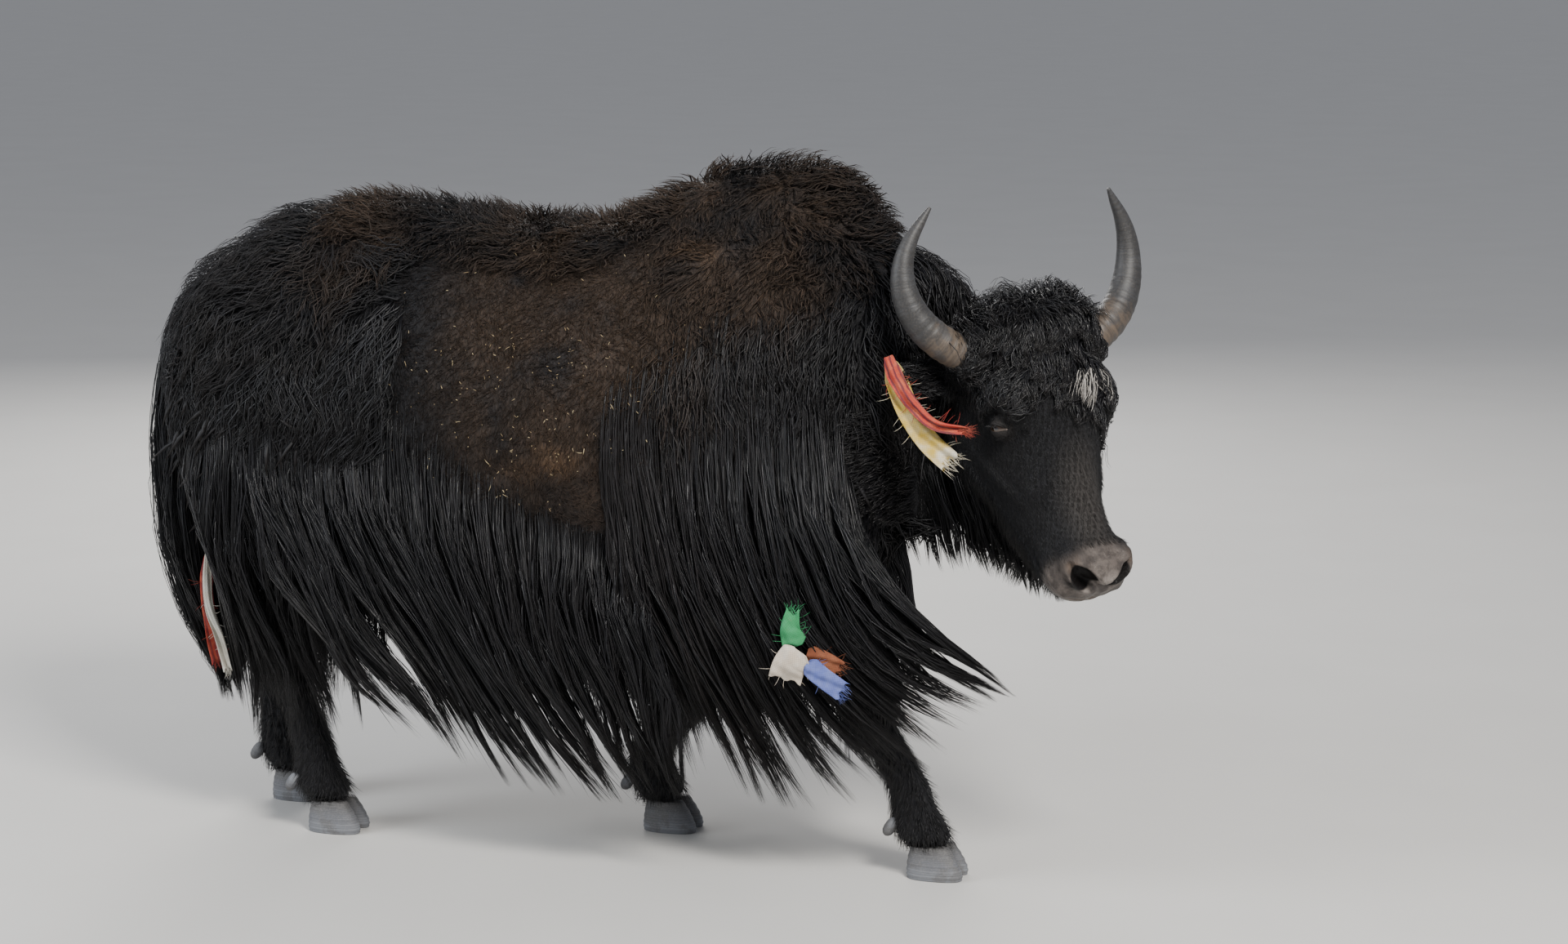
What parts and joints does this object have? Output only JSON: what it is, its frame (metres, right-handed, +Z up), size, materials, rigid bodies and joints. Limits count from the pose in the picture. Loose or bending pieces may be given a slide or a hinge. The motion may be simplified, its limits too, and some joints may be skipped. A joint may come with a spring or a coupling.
{
  "type": "yak",
  "caption": "Walking yak in a long coat, head low and turned aside, with curved horns and cloth ribbons tied to ear, shoulder and tail.",
  "frame": {"origin": "on the floor, under the middle of the animal's bounding box", "axes": "+X along the body towards the head, +Y to the animal's left, +Z up"},
  "size_m": [2.0334, 0.7486, 1.3724],
  "materials": {
    "coat_black": "flesh under black hair, dull",
    "coat_brown": "flesh under short dark brown wool, dull",
    "horn_grey": "grey horn with low rings, satin",
    "hoof_grey": "grey horn of the hooves, dull",
    "eye_dark": "dark wet eye",
    "ribbon_red": "red cloth, frayed",
    "ribbon_yellow": "yellow cloth, frayed",
    "ribbon_green": "green cloth",
    "ribbon_white": "cream cloth",
    "ribbon_brown": "rust brown cloth",
    "ribbon_blue": "blue cloth"
  },
  "bodies": {
    "root": {"barrel": "coat_brown", "chest_fringe": "coat_black", "dewclaw_fore_left_left": "hoof_grey", "dewclaw_fore_left_right": "hoof_grey", "dewclaw_fore_right_left": "hoof_grey", "dewclaw_fore_right_right": "hoof_grey", "dewclaw_hind_left_left": "hoof_grey", "dewclaw_hind_left_right": "hoof_grey", "dewclaw_hind_right_left": "hoof_grey", "dewclaw_hind_right_right": "hoof_grey", "ear_left": "coat_black", "ear_ribbon_red": "ribbon_red", "ear_ribbon_yellow": "ribbon_yellow", "ear_right": "coat_black", "eye_left": "eye_dark", "eye_right": "eye_dark", "foreleg_left_lower": "coat_black", "foreleg_left_upper": "coat_black", "foreleg_right_lower": "coat_black", "foreleg_right_upper": "coat_black", "forequarters": "coat_black", "head": "coat_black", "hindleg_left_lower": "coat_black", "hindleg_left_upper": "coat_black", "hindleg_right_lower": "coat_black", "hindleg_right_upper": "coat_black", "hindquarters": "coat_black", "hoof_fore_left_left_claw": "hoof_grey", "hoof_fore_left_right_claw": "hoof_grey", "hoof_fore_right_left_claw": "hoof_grey", "hoof_fore_right_right_claw": "hoof_grey", "hoof_hind_left_left_claw": "hoof_grey", "hoof_hind_left_right_claw": "hoof_grey", "hoof_hind_right_left_claw": "hoof_grey", "hoof_hind_right_right_claw": "hoof_grey", "horn_left": "horn_grey", "horn_right": "horn_grey", "lower_jaw": "coat_black", "neck": "coat_brown", "shoulder_fringe_left": "coat_black", "shoulder_fringe_right": "coat_black", "shoulder_ribbon_blue": "ribbon_blue", "shoulder_ribbon_brown": "ribbon_brown", "shoulder_ribbon_green": "ribbon_green", "shoulder_ribbon_white": "ribbon_white", "skirt_left": "coat_black", "skirt_right": "coat_black", "tail_dock": "coat_black", "tail_ribbon_red": "ribbon_red", "tail_ribbon_white": "ribbon_white", "tail_switch": "coat_black", "thigh_fringe_left": "coat_black", "thigh_fringe_right": "coat_black", "throat_fringe": "coat_black"}
  },
  "joints": []
}
